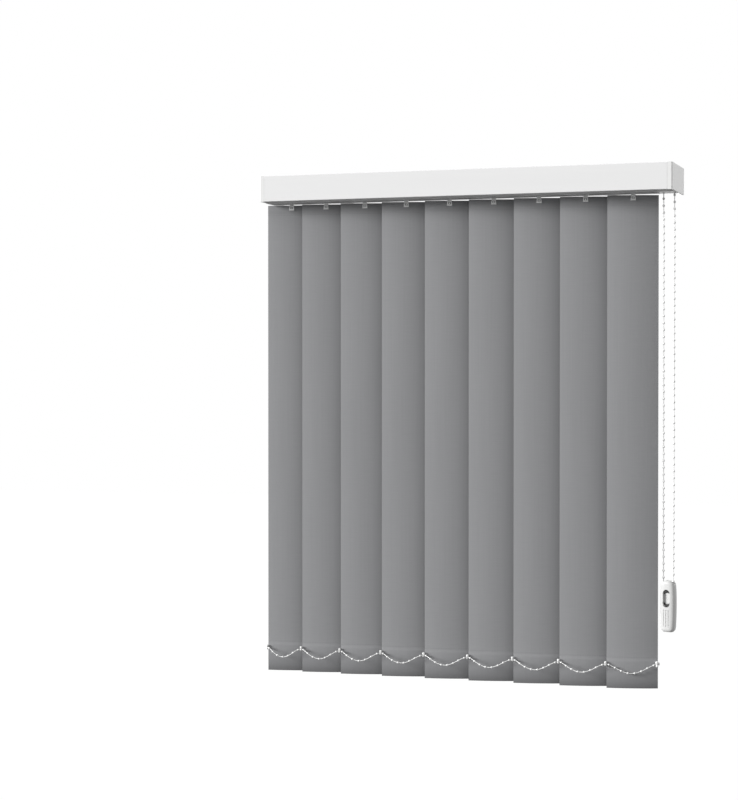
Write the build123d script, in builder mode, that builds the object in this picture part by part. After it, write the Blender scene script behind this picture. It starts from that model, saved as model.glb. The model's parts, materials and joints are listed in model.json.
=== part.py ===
"""Vertical blind: a headrail with a valance, nine fabric vanes on carriers, and two kinds of bead chain.

Frame: the wall is the plane y = 0, the blind hangs in front of it at negative y, x runs along the rail
and z is up. The origin is the centre of the four wall screw holes.
"""

import math
import os

from build123d import *

# Overall levels and clearances
valance_drop = 18.3
rail_show = 1.3
vane_top_gap = 5.0
fit_gap = 0.2
seat_gap = 0.3
running_gap = 0.08
cut_overrun = 1.0

# Valance: an extruded front panel between two moulded end pieces
valance_width = 758.0
valance_height = 46.5
valance_depth = 119.0
valance_wall = 2.5
valance_lip = 6.0
lip_wall = 1.6
end_wrap = 9.0
end_corner_radius = 2.4
tongue_length = 14.0
tongue_wall = 1.6
clip_width = 22.0
clip_wall = 1.5
clip_arm = 12.0
clip_claw = 6.0
clip_place_shares = [-0.4, 0.0, 0.4]

# Headrail: an aluminium channel with a slot along its underside
rail_width = 44.0
rail_height = 30.0
rail_wall = 1.4
rail_slot = 16.0
rail_lip = 2.6
rail_corner_radius = 2.5
cap_wall = 2.4
cap_plug = 8.0

# Wall brackets
bracket_inset = 129.0
bracket_width = 24.0
bracket_wall = 2.0
bracket_leg_drop = 15.0
bracket_claw = 7.0
bracket_rib_wall = 3.0
bracket_rib_reach = 14.0
screw_rise = 16.0
screw_hole_radius = 2.5

# Vanes: curved fabric strips with a hanger pocket at the top and a weight pocket at the bottom
vane_count = 9
vane_width = 89.0
vane_height = 859.5
vane_sagitta = 3.0
vane_tilt = 14.0
vane_pitch = 84.2
vane_gap_shares = [0.80, 0.895, 0.94, 0.968, 0.975, 0.983, 0.993, 1.0]
lead_inset = 76.7
axis_setback = 48.0
cloth_thickness = 0.5
top_pocket_height = 20.0
top_pocket_thickness = 1.6
weight_pocket_height = 56.0

# Weight plates in the bottom pockets
plate_thickness = 0.8
plate_height = 50.0
nub_length = 3.0
nub_height = 5.0

# Hooks that carry the vanes
stem_radius = 2.5
stem_head_radius = 4.2
stem_head_height = 1.6
hook_width = 9.4
hook_neck_width = 6.6
hook_front_wall = 1.4
hook_rear_wall = 1.0
hook_hole_width = 4.8
hook_hole_height = 3.8
hook_hole_drop = 3.7
hook_sill = 2.7
hook_tooth = 2.6

# Carriers that run in the rail, and the spacer strips between them
carrier_length = 18.0
carrier_width = 26.0
carrier_lift = 2.2
carrier_height = 18.6
roller_radius = 5.0
roller_width = 5.4
roller_sides = 12
carrier_edge = 1.2
stack_pitch = 19.0
strip_width = 2.6
strip_thickness = 0.5
strip_lanes = 5
strip_pitch = 4.4
strip_post = 5.0
strip_spare = 2.0

# Tilt rod and its bevel drive
rod_radius = 3.0
rod_journal_radius = 2.4
rod_offset = 7.4
rod_bore_gap = 0.5
bevel_near = 3.0
bevel_far = 6.4
bevel_gap = 0.1

# Control chain, its wheel and its weight
control_inset = 16.7
chain_setback = 9.8
bead_pitch = 12.0
bead_diameter = 4.5
bead_length = 5.0
string_diameter = 1.2
chain_end_gap = 0.3
wheel_pockets = 5
wheel_width = 5.9
wheel_groove = 5.1
wheel_core_radius = 6.8
wheel_flange_radius = 10.4
wheel_tooth_width = 4.4
wheel_tooth_radius = 8.6
wheel_pin_radius = 2.4
housing_wall = 1.4
housing_room = 0.8
strand_hole = 6.4
strand_pitches = 60

# Weight on the lower loop of the control chain, which hangs a little turned
weight_turn = -18.0
weight_width = 29.0
weight_thickness = 17.6
weight_height = 89.5
weight_top_width_share = 0.38
weight_side_width_shares = [0.82, 0.95, 1.0, 0.95, 0.84]
weight_side_drop_shares = [0.05, 0.15, 0.40, 0.78, 0.95]
weight_foot_width_share = 0.60
weight_edge = 1.8
weight_pulley_drop = 31.0
weight_room_height = 46.0
weight_room_width = 24.6
weight_room_depth = 8.0
weight_window_width = 13.5
weight_window_height = 31.0
weight_window_drop = 16.0
weight_rib_count = 3
weight_rib_width = 1.8
weight_rib_pitch = 4.6
weight_rib_height = 30.0
weight_rib_depth = 0.7
weight_rib_rise = 9.0
pulley_width = 7.0
pulley_core_radius = 6.6
pulley_flange_radius = 9.2
pulley_pin_radius = 1.8

# Chains that link the lower ends of the vanes
link_bead_diameter = 3.6
link_bead_length = 4.2
link_string_diameter = 1.0
link_bead_pitch = 12.0
link_sag = 17.0
link_ease_share = 1.5
link_rise = 42.9
link_clip_radius = 2.3
link_clip_height = 8.6
link_clip_reach = 2.0
end_clip_radius = 2.8
end_clip_height = 10.5
link_steps = 400
bead_neck_share = 0.6
bead_sides = 5

# Levels and places worked out from the sizes above
valance_bottom = -valance_drop
valance_top = valance_bottom + valance_height
valance_front = -valance_depth
rail_bottom = valance_bottom - rail_show
rail_top = rail_bottom + rail_height
axis_y = valance_front + axis_setback
rail_front = axis_y - rail_width / 2
rail_back = axis_y + rail_width / 2
vane_top = valance_bottom - vane_top_gap
vane_bottom = vane_top - vane_height
hook_hole_level = vane_top - hook_hole_drop
link_level = vane_bottom + link_rise

bead_wheel_radius = wheel_pockets * bead_pitch / (2 * math.pi)
rod_y = axis_y + rod_offset
rod_z = rail_bottom + rail_height / 2
chain_x = valance_width / 2 - control_inset
chain_y = rod_y + chain_setback
room_radius = bead_wheel_radius + bead_diameter / 2 + housing_room
housing_left = chain_x - room_radius - housing_wall
housing_right = chain_x + room_radius + housing_wall
rail_left = -valance_width / 2 + valance_wall + fit_gap + cap_wall
rail_right = housing_left
rail_length = rail_right - rail_left
bracket_spacing = valance_width - 2 * bracket_inset
pulley_z = rod_z - strand_pitches * bead_pitch
weight_top = pulley_z + weight_pulley_drop
weight_bottom = weight_top - weight_height

vane_places = [valance_width / 2 - lead_inset]
for gap_share in reversed(vane_gap_shares):
    vane_places.insert(0, vane_places[0] - gap_share * vane_pitch)
lead_travel = vane_places[-1] - vane_places[0] - (vane_count - 1) * stack_pitch
turn_x = math.cos(math.radians(vane_tilt))
turn_y = math.sin(math.radians(vane_tilt))
weight_turn_x = math.cos(math.radians(weight_turn))
weight_turn_y = math.sin(math.radians(weight_turn))


def vane_plane(x, level):
    """Plane on a vane's turning axis, with its x along the tilted vane and its z up."""
    return Plane(origin=(x, axis_y, level), x_dir=(turn_x, turn_y, 0), z_dir=(0, 0, 1))


def vane_face(x, across):
    """Upright plane along the tilted vane at x, facing the room, with its x along the vane and its y up."""
    return Plane(
        origin=(x - across * turn_y, axis_y + across * turn_x, 0),
        x_dir=(turn_x, turn_y, 0),
        z_dir=(turn_y, -turn_x, 0),
    )


def vane_point(x, along, across, level):
    """Place of a point given along and across the tilted vane at x."""
    return Vector(x + along * turn_x - across * turn_y, axis_y + along * turn_y + across * turn_x, level)


def vane_strip(plane, thickness, width, height):
    """Curved upright strip that bulges to the front, with its middle on the turning axis."""
    half = width / 2
    rise = vane_sagitta * (width / vane_width) ** 2
    with BuildPart() as strip:
        with BuildSketch(plane):
            with BuildLine():
                front = ThreePointArc(
                    (-half, rise - thickness / 2), (0, -thickness / 2), (half, rise - thickness / 2)
                )
                back = ThreePointArc(
                    (-half, rise + thickness / 2), (0, thickness / 2), (half, rise + thickness / 2)
                )
                Line(front @ 0, back @ 0)
                Line(front @ 1, back @ 1)
            make_face()
        extrude(amount=height)
    return strip.part


def weight_plane(level, forward):
    """Upright plane across the turned chain weight, moved to the front, with its x along the width."""
    return Plane(
        origin=(chain_x + forward * weight_turn_y, chain_y - forward * weight_turn_x, level),
        x_dir=(weight_turn_x, weight_turn_y, 0),
        z_dir=(weight_turn_y, -weight_turn_x, 0),
    )


def string_of_beads(sections):
    """String with its beads in plane faces, through many-sided sections given as planes and sizes."""
    turn = 2 * math.pi / bead_sides
    rings = [
        [
            plane.from_local_coords(
                (size / 2 * math.cos(corner * turn), size / 2 * math.sin(corner * turn), 0)
            )
            for corner in range(bead_sides)
        ]
        for plane, size in sections
    ]
    skin = [Face(Wire.make_polygon(ring)) for ring in (rings[0], rings[-1])]
    for low, high in zip(rings, rings[1:]):
        for corner in range(bead_sides):
            edge = [low[corner - 1], low[corner], high[corner], high[corner - 1]]
            skin.append(Face(Wire.make_polygon(edge)))
    return Solid(Shell(skin))


def bead(plane, size, length, string_size):
    """Bead whose pointed ends lie inside the string that it sits on."""
    tip = bead_neck_share * string_size
    return string_of_beads([(plane.offset(-length / 2), tip), (plane, size), (plane.offset(length / 2), tip)])


def string_run(start, finish, size):
    """Straight string from point to point."""
    along = finish - start
    plane = Plane(origin=start, x_dir=along.cross(Vector(0, 0, 1)), z_dir=along)
    return string_of_beads([(plane, size), (plane.offset(along.length), size)])


os.makedirs("parts", exist_ok=True)

# Valance front panel, a channel section with lips along its top and bottom edges
panel_left = -valance_width / 2 + end_wrap + fit_gap
panel_length = valance_width - 2 * (end_wrap + fit_gap)
panel_back = valance_front + valance_wall
with BuildPart() as valance_front_panel:
    with BuildSketch(Plane.YZ.offset(panel_left)):
        with BuildLine():
            Polyline(
                (valance_front, valance_bottom),
                (valance_front, valance_top),
                (valance_front + valance_lip, valance_top),
                (valance_front + valance_lip, valance_top - lip_wall),
                (panel_back, valance_top - lip_wall),
                (panel_back, valance_bottom + lip_wall),
                (valance_front + valance_lip, valance_bottom + lip_wall),
                (valance_front + valance_lip, valance_bottom),
                close=True,
            )
        make_face()
    extrude(amount=panel_length)
    fillet(valance_front_panel.edges().filter_by(Axis.X).group_by(Axis.Y)[0], lip_wall / 2)
valance_front_panel.part.label = "valance_front"
export_step(valance_front_panel.part, "parts/valance_front.step")

# Valance end pieces, each a return to the wall with a wrap on the front and a tongue behind the panel
tongue_front = panel_back + fit_gap
tongue_height = valance_height - 2 * (lip_wall + fit_gap)
for side, side_name in ((-1, "left"), (1, "right")):
    outer = side * valance_width / 2
    with BuildPart() as valance_end:
        with BuildSketch(Plane.XY.offset(valance_bottom)):
            with BuildLine():
                Polyline(
                    (outer, 0),
                    (outer, valance_front),
                    (outer - side * end_wrap, valance_front),
                    (outer - side * end_wrap, panel_back),
                    (outer - side * valance_wall, panel_back),
                    (outer - side * valance_wall, 0),
                    close=True,
                )
            make_face()
        extrude(amount=valance_height)
        corner = valance_end.edges().filter_by(Axis.Z).group_by(Axis.Y)[0].sort_by(Axis.X)
        fillet(corner[0] if side < 0 else corner[-1], end_corner_radius)
        tongue_span = end_wrap - valance_wall + tongue_length
        tongue_middle = outer - side * (valance_wall + tongue_span / 2)
        with BuildSketch(Plane.XY.offset(valance_bottom + lip_wall + fit_gap)):
            with Locations((tongue_middle, tongue_front + tongue_wall / 2)):
                Rectangle(tongue_span, tongue_wall)
            heel_span = end_wrap - valance_wall
            with Locations((outer - side * (valance_wall + heel_span / 2), panel_back + fit_gap / 2)):
                Rectangle(heel_span, fit_gap)
        extrude(amount=tongue_height)
    valance_end.part.label = f"valance_end_{side_name}"
    export_step(valance_end.part, f"parts/valance_end_{side_name}.step")

# Clips that carry the panel from the rail
clip_front = panel_back + fit_gap
tab_bottom = valance_bottom + lip_wall + fit_gap
tab_top = valance_top - lip_wall - fit_gap
with BuildPart() as valance_clips:
    for place_share in clip_place_shares:
        with BuildSketch(Plane.YZ.offset(place_share * panel_length - clip_width / 2)):
            with BuildLine():
                Polyline(
                    (clip_front, tab_bottom),
                    (clip_front, tab_top),
                    (clip_front + clip_wall, tab_top),
                    (clip_front + clip_wall, rail_top + fit_gap + clip_wall),
                    (rail_front + clip_arm, rail_top + fit_gap + clip_wall),
                    (rail_front + clip_arm, rail_top + fit_gap),
                    (rail_front - fit_gap, rail_top + fit_gap),
                    (rail_front - fit_gap, rail_top - clip_claw),
                    (rail_front - fit_gap - clip_wall, rail_top - clip_claw),
                    (rail_front - fit_gap - clip_wall, rail_top + fit_gap),
                    (clip_front + clip_wall, rail_top + fit_gap),
                    (clip_front + clip_wall, tab_bottom),
                    close=True,
                )
            make_face()
        extrude(amount=clip_width)
valance_clips.part.label = "valance_clips"
export_step(valance_clips.part, "parts/valance_clips.step")

# Headrail, a channel whose flanges leave a slot with upturned lips for the stems
with BuildPart() as headrail:
    with BuildSketch(Plane.YZ.offset(rail_left)):
        with Locations((axis_y, rail_bottom + rail_height / 2)):
            RectangleRounded(rail_width, rail_height, rail_corner_radius)
            Rectangle(rail_width - 2 * rail_wall, rail_height - 2 * rail_wall, mode=Mode.SUBTRACT)
        with Locations((axis_y, rail_bottom + rail_lip / 2)):
            Rectangle(rail_slot + 2 * rail_wall, rail_lip)
        with Locations((axis_y, rail_bottom + rail_lip / 2)):
            Rectangle(rail_slot, rail_lip + 2 * cut_overrun, mode=Mode.SUBTRACT)
    extrude(amount=rail_length)
headrail.part.label = "headrail"
export_step(headrail.part, "parts/headrail.step")

# Left end cap with a plug in the rail and a bearing for the rod
plug_width = rail_width - 2 * (rail_wall + fit_gap)
plug_bottom = rail_bottom + rail_lip + fit_gap
plug_height = rail_top - rail_wall - fit_gap - plug_bottom
journal_bore = rod_journal_radius + running_gap
with BuildPart() as end_cap_left:
    with BuildSketch(Plane.YZ.offset(rail_left - cap_wall)):
        with Locations((axis_y, rail_bottom + rail_height / 2)):
            RectangleRounded(rail_width, rail_height, rail_corner_radius)
    extrude(amount=cap_wall)
    with BuildSketch(Plane.YZ.offset(rail_left)):
        with Locations((axis_y, plug_bottom + plug_height / 2)):
            Rectangle(plug_width, plug_height)
    extrude(amount=cap_plug)
    with BuildSketch(Plane.YZ.offset(rail_left)):
        with Locations((rod_y, rod_z)):
            Circle(journal_bore)
    extrude(amount=cap_plug + cut_overrun, mode=Mode.SUBTRACT)
end_cap_left.part.label = "end_cap_left"
export_step(end_cap_left.part, "parts/end_cap_left.step")

# Control housing at the right end, a shell round the chain wheel with a plug in the rail
room_front = rod_y - bevel_far - housing_room
room_back = chain_y + wheel_width / 2 + seat_gap
with BuildPart() as control_housing:
    with BuildSketch(Plane.YZ.offset(housing_left)):
        with Locations((axis_y, rail_bottom + rail_height / 2)):
            RectangleRounded(rail_width, rail_height, rail_corner_radius)
    extrude(amount=housing_right - housing_left)
    with BuildSketch(Plane.YZ.offset(housing_left)):
        with Locations((axis_y, plug_bottom + plug_height / 2)):
            Rectangle(plug_width, plug_height)
    extrude(amount=-cap_plug)
    with BuildSketch(Plane.YZ.offset(chain_x - room_radius)):
        with Locations(((room_front + room_back) / 2, rod_z)):
            Rectangle(room_back - room_front, 2 * room_radius)
    extrude(amount=2 * room_radius, mode=Mode.SUBTRACT)
    with BuildSketch(Plane.YZ.offset(chain_x - room_radius)):
        with Locations((rod_y, rod_z)):
            Circle(journal_bore)
    extrude(amount=-housing_wall - cap_plug - cut_overrun, mode=Mode.SUBTRACT)
    with BuildSketch(Plane.XY.offset(rod_z - room_radius)):
        with Locations((chain_x - bead_wheel_radius, chain_y), (chain_x + bead_wheel_radius, chain_y)):
            Rectangle(strand_hole, strand_hole)
    extrude(amount=-rail_height, mode=Mode.SUBTRACT)
    with BuildSketch(Plane.XZ.offset(-room_back)):
        with Locations((chain_x, rod_z)):
            Circle(wheel_pin_radius)
    extrude(amount=wheel_width)
control_housing.part.label = "control_housing"
export_step(control_housing.part, "parts/control_housing.step")

# Wall brackets, each an angle that claws over the rail and is stiffened by a rib
arm_bottom = rail_top + fit_gap
arm_top = arm_bottom + bracket_wall
claw_front = rail_front - fit_gap - bracket_wall
claw_back = rail_back + fit_gap + bracket_wall
claw_bottom = rail_top - bracket_claw
for side, side_name in ((-1, "left"), (1, "right")):
    bracket_x = side * bracket_spacing / 2
    with BuildPart() as bracket:
        with BuildSketch(Plane.YZ.offset(bracket_x - bracket_width / 2)):
            with BuildLine():
                Polyline(
                    (0, -bracket_leg_drop),
                    (0, arm_top),
                    (claw_front, arm_top),
                    (claw_front, claw_bottom),
                    (claw_front + bracket_wall, claw_bottom),
                    (claw_front + bracket_wall, arm_bottom),
                    (claw_back - bracket_wall, arm_bottom),
                    (claw_back - bracket_wall, claw_bottom),
                    (claw_back, claw_bottom),
                    (claw_back, arm_bottom),
                    (-bracket_wall, arm_bottom),
                    (-bracket_wall, -bracket_leg_drop),
                    close=True,
                )
            make_face()
        extrude(amount=bracket_width)
        with BuildSketch(Plane.YZ.offset(bracket_x - bracket_width / 2)):
            with BuildLine():
                Polyline(
                    (-bracket_wall, arm_bottom),
                    (-bracket_wall - bracket_rib_reach, arm_bottom),
                    (-bracket_wall, arm_bottom - bracket_rib_reach),
                    close=True,
                )
            make_face()
        extrude(amount=bracket_rib_wall)
        with BuildSketch(Plane.XZ):
            with Locations((bracket_x, -screw_rise / 2), (bracket_x, screw_rise / 2)):
                Circle(screw_hole_radius)
        extrude(amount=bracket_wall + cut_overrun, mode=Mode.SUBTRACT)
    bracket.part.label = f"bracket_{side_name}"
    export_step(bracket.part, f"parts/bracket_{side_name}.step")

# Tilt rod: a hexagon bar with round journals and a bevel at the control end
journal_left = rail_left + seat_gap
hex_left = rail_left + cap_plug + seat_gap
hex_right = housing_left - cap_plug - seat_gap
bevel_base = chain_x - bevel_far
with BuildPart() as tilt_rod:
    with BuildSketch(Plane.YZ.offset(journal_left)):
        with Locations((rod_y, rod_z)):
            Circle(rod_journal_radius)
    extrude(amount=bevel_base - journal_left)
    with BuildSketch(Plane.YZ.offset(hex_left)):
        with Locations((rod_y, rod_z)):
            RegularPolygon(rod_radius, side_count=6)
    extrude(amount=hex_right - hex_left)
    with BuildSketch(Plane.YZ.offset(bevel_base)):
        with Locations((rod_y, rod_z)):
            Circle(bevel_far - bevel_gap)
    with BuildSketch(Plane.YZ.offset(chain_x - bevel_near)):
        with Locations((rod_y, rod_z)):
            Circle(bevel_near - bevel_gap)
    loft()
tilt_rod.part.label = "tilt_rod"
export_step(tilt_rod.part, "parts/tilt_rod.step")

# Chain wheel: a grooved wheel whose teeth stand between the beads, with a bevel towards the rod
wheel_front = chain_y - wheel_width / 2
bevel_step = 360 / wheel_pockets
with BuildPart() as chain_wheel:
    with BuildSketch(Plane.XZ.offset(-wheel_front - wheel_width)):
        with Locations((chain_x, rod_z)):
            Circle(wheel_flange_radius)
    extrude(amount=wheel_width)
    with BuildSketch(Plane.XZ.offset(-chain_y - wheel_groove / 2)):
        with Locations((chain_x, rod_z)):
            Circle(wheel_flange_radius + cut_overrun)
            Circle(wheel_core_radius, mode=Mode.SUBTRACT)
    extrude(amount=wheel_groove, mode=Mode.SUBTRACT)
    with BuildSketch(Plane.XZ.offset(-chain_y - wheel_groove / 2)):
        with Locations((chain_x, rod_z)):
            with PolarLocations(wheel_tooth_radius / 2, wheel_pockets, start_angle=bevel_step / 2):
                Rectangle(wheel_tooth_radius, wheel_tooth_width)
    extrude(amount=wheel_groove)
    with BuildSketch(Plane.XZ.offset(-rod_y - bevel_far)):
        with Locations((chain_x, rod_z)):
            Circle(bevel_far - bevel_gap)
    with BuildSketch(Plane.XZ.offset(-rod_y - bevel_near)):
        with Locations((chain_x, rod_z)):
            Circle(bevel_near - bevel_gap)
    loft()
    with BuildSketch(Plane.XZ.offset(-wheel_front)):
        with Locations((chain_x, rod_z)):
            Circle(bevel_far - bevel_gap)
    extrude(amount=wheel_front - rod_y - bevel_far)
    with BuildSketch(Plane.XZ.offset(-room_back)):
        with Locations((chain_x, rod_z)):
            Circle(wheel_pin_radius + running_gap)
    extrude(amount=wheel_width + seat_gap, mode=Mode.SUBTRACT)
chain_wheel.part.label = "chain_wheel"
export_step(chain_wheel.part, "parts/chain_wheel.step")

# Control chain: one loop over the wheel and under the pulley of the weight, with its joint beside a bead
half_turn = math.pi * bead_wheel_radius
strand = strand_pitches * bead_pitch
loop_length = 2 * (strand + half_turn)
right_foot = Vector(
    chain_x + bead_wheel_radius * weight_turn_x, chain_y + bead_wheel_radius * weight_turn_y, pulley_z
)
left_foot = Vector(
    chain_x - bead_wheel_radius * weight_turn_x, chain_y - bead_wheel_radius * weight_turn_y, pulley_z
)
right_head = Vector(chain_x + bead_wheel_radius, chain_y, rod_z)
left_head = Vector(chain_x - bead_wheel_radius, chain_y, rod_z)
loop_pieces = []
for foot, head, first_bead, joint_gap in (
    (right_foot, right_head, bead_pitch, chain_end_gap),
    (left_foot, left_head, bead_pitch / 2, 0),
):
    marks = [(joint_gap, string_diameter)]
    middle = first_bead
    while middle < strand - bead_pitch / 4:
        marks.append((middle - bead_length / 2, string_diameter))
        marks.append((middle, bead_diameter))
        marks.append((middle + bead_length / 2, string_diameter))
        middle += bead_pitch
    marks.append((strand, string_diameter))
    rise = head - foot
    sections = [
        (Plane(origin=foot + rise * (length / strand), x_dir=(0, 1, 0), z_dir=(0, 0, 1)), size)
        for length, size in marks
    ]
    loop_pieces.append(string_of_beads(sections))

# Each half turn is a bent string with its own beads, given by their lengths past the right strand
wheel_frame = Plane(origin=(chain_x, chain_y, rod_z), x_dir=(1, 0, 0), z_dir=(0, -1, 0))
pulley_frame = weight_plane(pulley_z, 0)
for frame, first_angle, bead_lengths in (
    (wheel_frame, 0, [0, bead_pitch, 2 * bead_pitch]),
    (pulley_frame, -180, [bead_pitch / 2, 3 * bead_pitch / 2, 5 * bead_pitch / 2]),
):
    turn_axis = Axis(frame.origin, frame.z_dir)
    with BuildPart() as bend:
        with BuildSketch(Plane(origin=frame.origin, x_dir=frame.x_dir, z_dir=-frame.y_dir)):
            with Locations((bead_wheel_radius if first_angle == 0 else -bead_wheel_radius, 0)):
                RegularPolygon(string_diameter / 2, side_count=bead_sides, rotation=-90)
        revolve(axis=turn_axis, revolution_arc=180)
    loop_pieces.append(bend.part)
    for length in bead_lengths:
        angle = math.radians(first_angle) + length / bead_wheel_radius
        outward = frame.x_dir * math.cos(angle) + frame.y_dir * math.sin(angle)
        along = frame.y_dir * math.cos(angle) - frame.x_dir * math.sin(angle)
        seat = Plane(origin=frame.origin + outward * bead_wheel_radius, x_dir=frame.z_dir, z_dir=along)
        loop_pieces.append(bead(seat, bead_diameter, bead_length, string_diameter))
with BuildPart() as control_chain:
    add(loop_pieces)
control_chain.part.label = "control_chain"
export_step(control_chain.part, "parts/control_chain.step")

# Chain weight: a barrel-shaped casing with a room for the pulley, a window and grip grooves
half_width = weight_width / 2
window_middle = weight_top - weight_window_drop - weight_window_height / 2
rib_middle = weight_bottom + weight_rib_rise + weight_rib_height / 2
room_middle = weight_top - weight_room_height / 2
with BuildPart() as chain_weight:
    with BuildSketch(weight_plane(weight_top, 0)):
        with BuildLine():
            head_corner = (weight_top_width_share * half_width, 0)
            foot_corner = (weight_foot_width_share * half_width, -weight_height)
            flank = [
                (width_share * half_width, -drop_share * weight_height)
                for width_share, drop_share in zip(weight_side_width_shares, weight_side_drop_shares)
            ]
            Line((0, 0), head_corner)
            Spline(head_corner, *flank, foot_corner)
            Line(foot_corner, (0, -weight_height))
            mirror(about=Plane.YZ)
        make_face()
    extrude(amount=weight_thickness / 2, both=True)
    faces_across = chain_weight.faces().sort_by(Axis(weight_plane(0, 0).origin, weight_plane(0, 0).z_dir))
    chamfer(faces_across[0].edges() + faces_across[-1].edges(), weight_edge)
    with BuildSketch(weight_plane(room_middle, 0)):
        with Locations((0, cut_overrun / 2)):
            Rectangle(weight_room_width, weight_room_height + cut_overrun)
    extrude(amount=weight_room_depth / 2, both=True, mode=Mode.SUBTRACT)
    with BuildSketch(weight_plane(window_middle, 0)):
        SlotOverall(weight_window_height, weight_window_width, rotation=90)
    extrude(amount=weight_thickness, mode=Mode.SUBTRACT)
    with BuildSketch(weight_plane(rib_middle, weight_thickness / 2 - weight_rib_depth)):
        with GridLocations(weight_rib_pitch, weight_rib_height, weight_rib_count, 1):
            Rectangle(weight_rib_width, weight_rib_height)
    extrude(amount=weight_rib_depth + cut_overrun, mode=Mode.SUBTRACT)
    with BuildSketch(weight_plane(pulley_z, -weight_room_depth / 2)):
        Circle(pulley_pin_radius)
    extrude(amount=weight_room_depth / 2 + pulley_width / 2)
chain_weight.part.label = "chain_weight"
export_step(chain_weight.part, "parts/chain_weight.step")

# Pulley in the weight
with BuildPart() as weight_pulley:
    with BuildSketch(pulley_frame):
        Circle(pulley_flange_radius)
        Circle(pulley_pin_radius + running_gap, mode=Mode.SUBTRACT)
    extrude(amount=pulley_width / 2, both=True)
    with BuildSketch(pulley_frame):
        Circle(pulley_flange_radius + cut_overrun)
        Circle(pulley_core_radius, mode=Mode.SUBTRACT)
    extrude(amount=wheel_groove / 2, both=True, mode=Mode.SUBTRACT)
weight_pulley.part.label = "weight_pulley"
export_step(weight_pulley.part, "parts/weight_pulley.step")

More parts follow.
